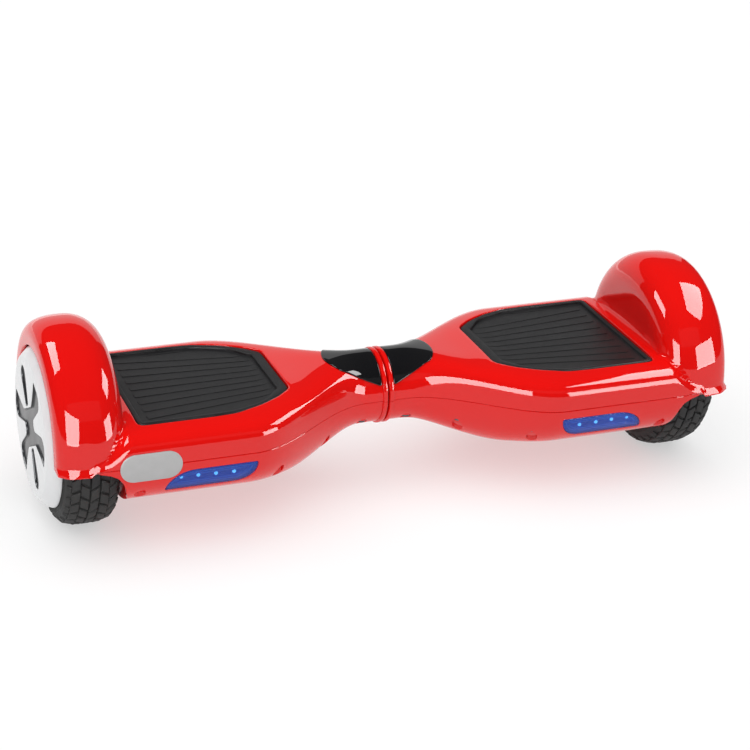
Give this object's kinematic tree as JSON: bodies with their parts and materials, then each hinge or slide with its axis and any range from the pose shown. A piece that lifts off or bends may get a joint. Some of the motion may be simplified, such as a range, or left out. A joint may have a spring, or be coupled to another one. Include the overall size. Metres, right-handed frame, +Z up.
{
  "type": "self balancing board",
  "caption": "Two-wheeled self-balancing board: two glossy tilting halves on a centre pivot, hub-motor wheels under round arches, ribbed foot pads and front lamps.",
  "frame": {"origin": "midpoint between the wheels' ground contacts, on the ground", "axes": "+X along the wheel axle towards the right half (the side on the right when the lit front is seen), +Y to the rear, +Z up"},
  "size_m": [0.584, 0.1867, 0.171],
  "materials": {
    "red_shell": "glossy moulded plastic",
    "black_gloss": "piano black",
    "pad_rubber": "matte, finely grained",
    "black_matte": "matte",
    "silicone": "matte",
    "circuit_board": "solder mask",
    "lamp_lens": "tinted clear plastic over lit diodes",
    "lamp_board": "solder mask with lit diodes",
    "cast_aluminium": "die cast",
    "stator_steel": "laminated",
    "copper_wire": "enamelled copper",
    "axle_steel": "turned",
    "screw_steel": "black oxide",
    "cable_jacket": "satin",
    "tyre_rubber": "solid rubber",
    "white_gloss": "glossy moulded plastic",
    "gunmetal": "satin dark grey",
    "magnet_plating": "nickel plated",
    "bearing_steel": "ground",
    "bush_brass": "sintered",
    "battery_wrap": "heat-shrink film",
    "cap_rubber": "matte",
    "label_film": "satin film, blank"
  },
  "bodies": {
    "left_half": {"left_top_shell": "red_shell", "left_bottom_shell": "red_shell", "left_chassis": "cast_aluminium", "left_centre_panel": "black_gloss", "left_sensor_board": "circuit_board", "left_led_lens": "lamp_lens", "left_led_board": "lamp_board", "left_stator_core": "stator_steel", "left_stator_windings": "copper_wire", "left_axle": "axle_steel", "left_axle_clamp": "cast_aluminium", "left_clamp_screws": "screw_steel", "left_shell_screws": "screw_steel", "left_wiring": "cable_jacket", "pivot_tube": "axle_steel", "retaining_ring": "screw_steel", "main_board": "circuit_board", "blank_label": "label_film"},
    "right_half": {"right_top_shell": "red_shell", "right_bottom_shell": "red_shell", "right_chassis": "cast_aluminium", "right_centre_panel": "black_gloss", "right_sensor_board": "circuit_board", "right_led_lens": "lamp_lens", "right_led_board": "lamp_board", "right_stator_core": "stator_steel", "right_stator_windings": "copper_wire", "right_axle": "axle_steel", "right_axle_clamp": "cast_aluminium", "right_clamp_screws": "screw_steel", "right_shell_screws": "screw_steel", "right_wiring": "cable_jacket", "pivot_bushes": "bush_brass", "battery_pack": "battery_wrap", "power_switch": "black_matte", "charge_port": "black_matte"},
    "left_wheel": {"left_tyre": "tyre_rubber", "left_rotor": "cast_aluminium", "left_hub_cap": "white_gloss", "left_hub_inlay": "gunmetal", "left_magnets": "magnet_plating", "left_motor_cover": "cast_aluminium", "left_wheel_bearings": "bearing_steel"},
    "right_wheel": {"right_tyre": "tyre_rubber", "right_rotor": "cast_aluminium", "right_hub_cap": "white_gloss", "right_hub_inlay": "gunmetal", "right_magnets": "magnet_plating", "right_motor_cover": "cast_aluminium", "right_wheel_bearings": "bearing_steel"},
    "left_pad": {"left_pad_mat": "pad_rubber", "left_pad_tray": "black_matte", "left_pad_plungers": "silicone"},
    "right_pad": {"right_pad_mat": "pad_rubber", "right_pad_tray": "black_matte", "right_pad_plungers": "silicone"},
    "power_button": {"power_button": "black_matte"},
    "charge_port_cap": {"charge_port_cap": "cap_rubber"}
  },
  "joints": [
    {"name": "centre_tilt", "type": "hinge", "parent": "left_half", "child": "right_half", "pos_m": [0, 0, 0.0825], "axis": [1, 0, 0], "range_deg": [-10, 10]},
    {"name": "left_wheel_spin", "type": "hinge", "parent": "left_half", "child": "left_wheel", "pos_m": [-0.262, 0, 0.0825], "axis": [1, 0, 0], "continuous": true},
    {"name": "right_wheel_spin", "type": "hinge", "parent": "right_half", "child": "right_wheel", "pos_m": [0.262, 0, 0.0825], "axis": [1, 0, 0], "continuous": true},
    {"name": "left_pad_press", "type": "slide", "parent": "left_half", "child": "left_pad", "axis": [0, 0, -1], "range_m": [0, 0.0015], "stiffness_N_per_m": 30000},
    {"name": "right_pad_press", "type": "slide", "parent": "right_half", "child": "right_pad", "axis": [0, 0, -1], "range_m": [0, 0.0015], "stiffness_N_per_m": 30000},
    {"name": "power_button_press", "type": "slide", "parent": "right_half", "child": "power_button", "axis": [0, -1, 0], "range_m": [0, 0.0012], "stiffness_N_per_m": 800},
    {"name": "charge_cap_hinge", "type": "hinge", "parent": "right_half", "child": "charge_port_cap", "pos_m": [0.186, 0.08514, 0.0777], "axis": [1, 0, 0], "range_deg": [0, 90], "stiffness_Nm_per_rad": 0.02}
  ]
}
